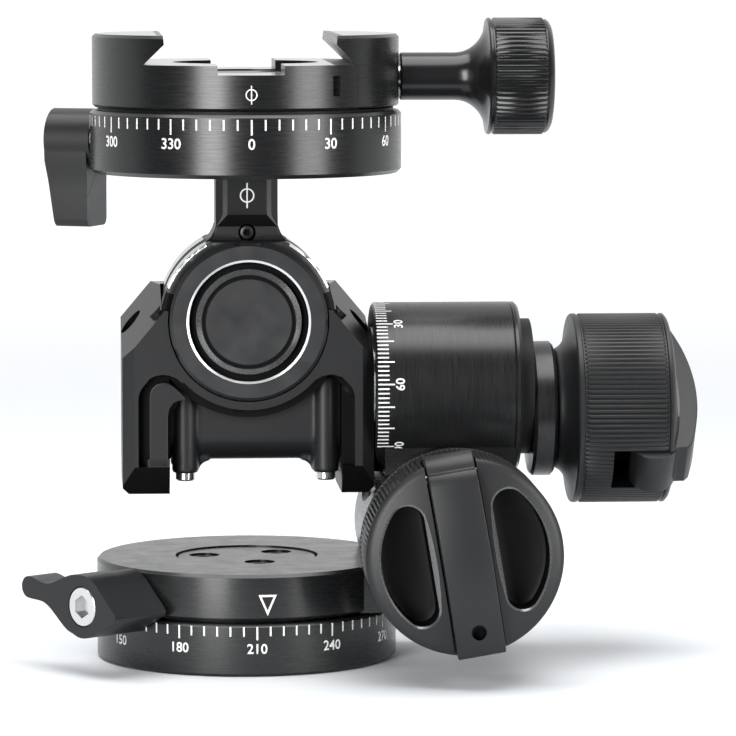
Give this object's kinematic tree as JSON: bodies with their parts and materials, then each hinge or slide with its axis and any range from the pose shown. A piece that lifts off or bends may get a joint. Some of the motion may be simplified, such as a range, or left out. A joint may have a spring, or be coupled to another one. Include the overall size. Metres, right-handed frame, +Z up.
{
  "type": "geared tripod head",
  "caption": "Geared tripod head: panning base, worm-driven tilt and roll knobs with flip levers, and a panning dovetail clamp with a knurled knob.",
  "frame": {"origin": "centre of the base's underside, at the mouth of the tripod thread", "axes": "+Z up, +X towards the roll knob, -Y towards the tilt knob and the picture's viewer"},
  "size_m": [0.1352, 0.0844, 0.1276],
  "materials": {
    "anodised_black": "satin black anodised",
    "machined_aluminium": "turned, bare",
    "steel": "bright",
    "bronze": "machined",
    "acetal": "matt"
  },
  "bodies": {
    "base": {"base_ring": "anodised_black", "thread_bush": "steel", "slip_washer": "acetal", "pan_retainer": "anodised_black", "pan_retainer_screws": "steel"},
    "pan": {"pan_body": "anodised_black", "pan_brake_shoe": "bronze", "tilt_housing": "anodised_black", "housing_screws": "steel", "housing_end_ring": "anodised_black", "axle_bush": "bronze", "gearbox_cover": "anodised_black"},
    "pan_lever": {"pan_lock_lever": "anodised_black", "pan_lock_screw": "steel"},
    "tilt_drive": {"tilt_knob": "anodised_black", "tilt_worm": "steel", "tilt_flip_pin": "steel"},
    "tilt_flip": {"tilt_flip_lever": "anodised_black"},
    "cradle": {"cradle": "anodised_black", "rear_plate": "anodised_black", "rear_plate_screws": "steel", "tilt_axle": "steel", "tilt_wheel": "bronze", "thrust_washer": "acetal", "end_cap": "anodised_black", "end_cap_screws": "steel", "worm_carrier": "anodised_black", "carrier_screws": "steel", "ear_screws": "steel", "ear_pads": "acetal"},
    "roll_drive": {"roll_knob": "anodised_black", "roll_worm": "steel", "roll_flip_pin": "steel"},
    "roll_flip": {"roll_flip_lever": "anodised_black"},
    "roll_head": {"drum_rear": "machined_aluminium", "roll_wheel": "bronze", "drum_front": "machined_aluminium", "drum_cap": "anodised_black", "neck": "anodised_black", "neck_set_screw": "steel", "neck_screws": "steel", "top_ring": "anodised_black", "top_ring_screws": "steel", "top_slip_washer": "acetal", "clamp_retainer": "anodised_black", "clamp_retainer_screws": "steel", "top_brake_shoe": "bronze"},
    "top_lever": {"top_lock_lever": "anodised_black", "top_lock_screw": "steel"},
    "clamp": {"clamp_body": "anodised_black"},
    "jaw": {"clamp_jaw": "anodised_black", "jaw_guide_pins": "steel"},
    "clamp_drive": {"clamp_knob": "anodised_black", "clamp_screw": "steel", "clamp_circlip": "steel"}
  },
  "joints": [
    {"name": "base_pan", "type": "hinge", "parent": "base", "child": "pan", "pos_m": [0, 0, 0.0109], "axis": [0, 0, 1], "continuous": true},
    {"name": "pan_lock", "type": "hinge", "parent": "pan", "child": "pan_lever", "pos_m": [0, 0, 0.0138], "axis": [-0.766, -0.6428, 0], "range_deg": [-60, 10]},
    {"name": "tilt_knob_turn", "type": "hinge", "parent": "pan", "child": "tilt_drive", "pos_m": [0.04, 0, 0.0255], "axis": [0, 1, 0], "range_deg": [-1080, 3240]},
    {"name": "tilt_flip_swing", "type": "hinge", "parent": "tilt_drive", "child": "tilt_flip", "pos_m": [0.03746, -0.04355, 0.04069], "axis": [-0.9863, 0, -0.165], "range_deg": [0, 75]},
    {"name": "tilt", "type": "hinge", "parent": "pan", "child": "cradle", "pos_m": [0.025, 0, 0.0537], "axis": [-1, 0, 0], "range_deg": [-30, 90]},
    {"name": "roll_knob_turn", "type": "hinge", "parent": "cradle", "child": "roll_drive", "pos_m": [0.06, 0, 0.0492], "axis": [1, 0, 0], "range_deg": [-1920, 1600]},
    {"name": "roll_flip_swing", "type": "hinge", "parent": "roll_drive", "child": "roll_flip", "pos_m": [0.08045, -0.0123, 0.03993], "axis": [0, 0.6018, -0.7986], "range_deg": [0, 75]},
    {"name": "roll", "type": "hinge", "parent": "cradle", "child": "roll_head", "pos_m": [0, 0, 0.0681], "axis": [0, 1, 0], "range_deg": [-30, 25]},
    {"name": "top_pan", "type": "hinge", "parent": "roll_head", "child": "clamp", "pos_m": [0, 0, 0.11], "axis": [0, 0, 1], "continuous": true},
    {"name": "top_lock", "type": "hinge", "parent": "roll_head", "child": "top_lever", "pos_m": [0, 0, 0.103], "axis": [-0.9272, 0.3746, 0], "range_deg": [-40, 30]},
    {"name": "jaw_slide", "type": "slide", "parent": "clamp", "child": "jaw", "axis": [1, 0, 0], "range_m": [0, 0.004]},
    {"name": "clamp_knob_turn", "type": "hinge", "parent": "jaw", "child": "clamp_drive", "pos_m": [0.03, 0, 0.1159], "axis": [1, 0, 0], "range_deg": [0, 1440]}
  ],
  "couplings": [
    {"joint": "tilt", "follows": "tilt_knob_turn", "ratio": 0.027778},
    {"joint": "roll", "follows": "roll_knob_turn", "ratio": 0.015625},
    {"joint": "clamp_knob_turn", "follows": "jaw_slide", "rad_per_m": 6283.2}
  ]
}
